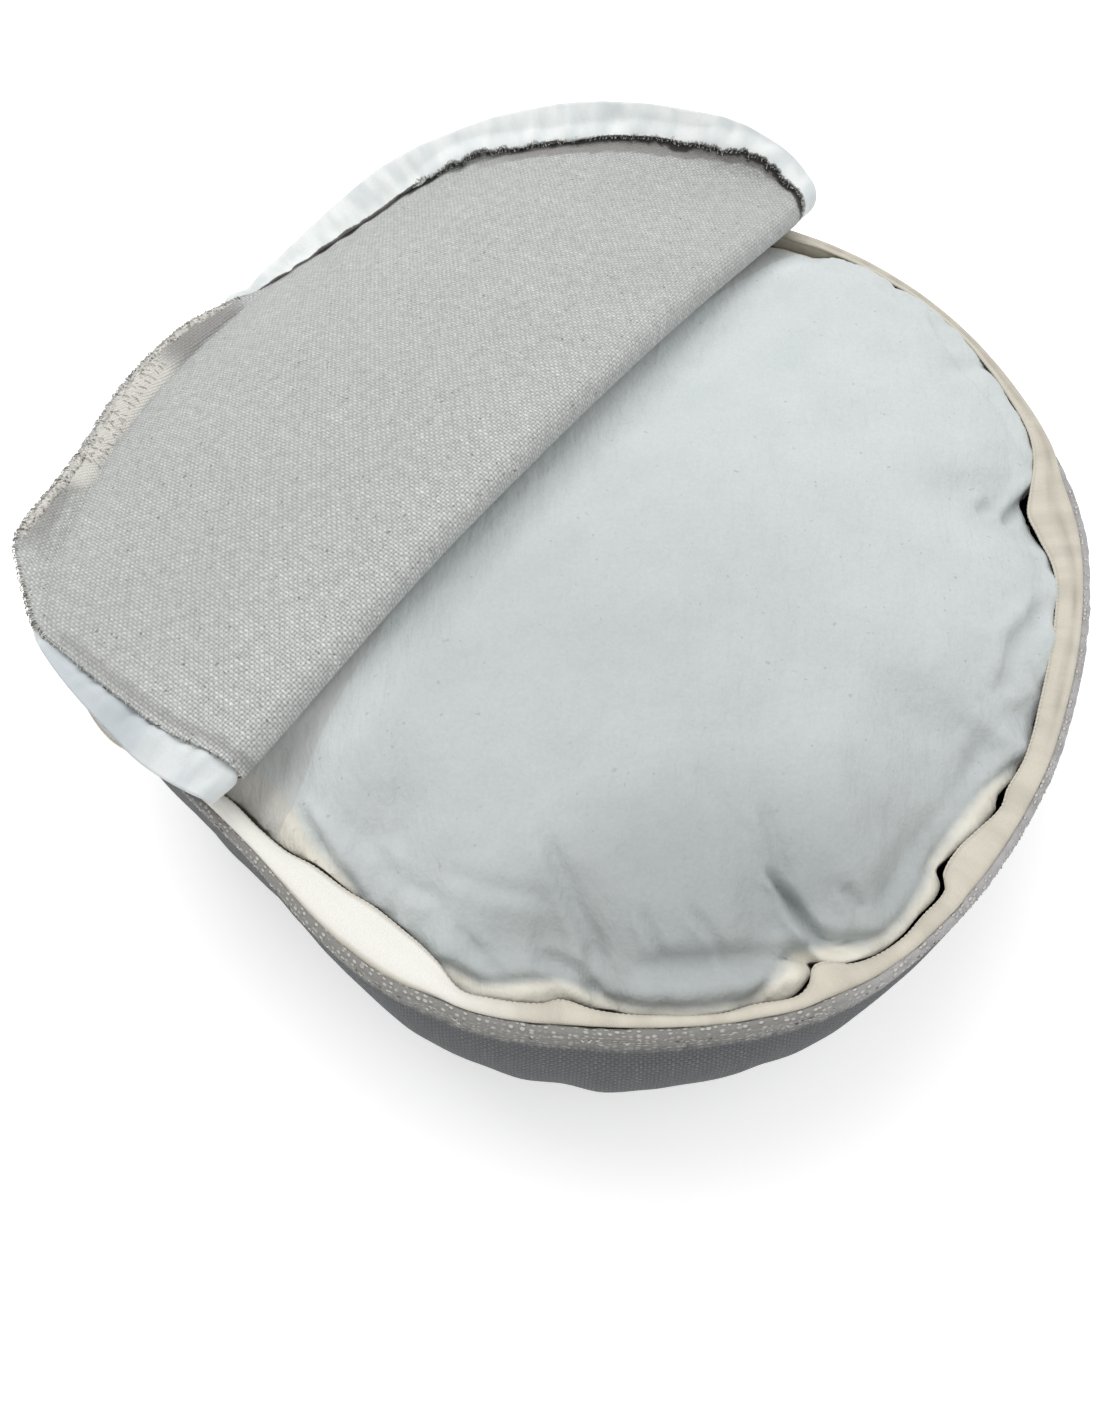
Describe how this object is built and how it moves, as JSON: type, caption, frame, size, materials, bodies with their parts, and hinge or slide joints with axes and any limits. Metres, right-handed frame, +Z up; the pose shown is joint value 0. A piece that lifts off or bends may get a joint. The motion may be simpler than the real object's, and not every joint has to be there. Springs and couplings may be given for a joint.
{
  "type": "zafu meditation cushion with an open cover",
  "caption": "Low round floor cushion with a canvas cover, its top panel unzipped and folded half back over a stuffed pale pillow.",
  "frame": {"origin": "centre of the flat underside, where the cushion rests on the floor", "axes": "+Z is up, +Y is away from the viewer and the open side, +X is to the right; the folded part of the top panel lies towards -X and +Y"},
  "size_m": [0.3705, 0.379, 0.1381],
  "materials": {
    "pillow_cotton": "pale bluish white plain cotton, matt",
    "band_canvas": "coarse woven natural grey canvas, matt",
    "base_canvas": "coarse woven natural grey canvas, matt",
    "top_canvas": "coarse woven natural grey canvas, matt, inner face up on the fold",
    "cream_tape": "cream woven zip tape, matt",
    "white_tape": "white woven zip tape, matt"
  },
  "bodies": {
    "root": {"inner_pillow": "pillow_cotton", "side_band": "band_canvas", "base_panel": "base_canvas", "top_panel": "top_canvas", "band_zip_tape": "cream_tape", "panel_zip_tape": "white_tape"}
  },
  "joints": []
}
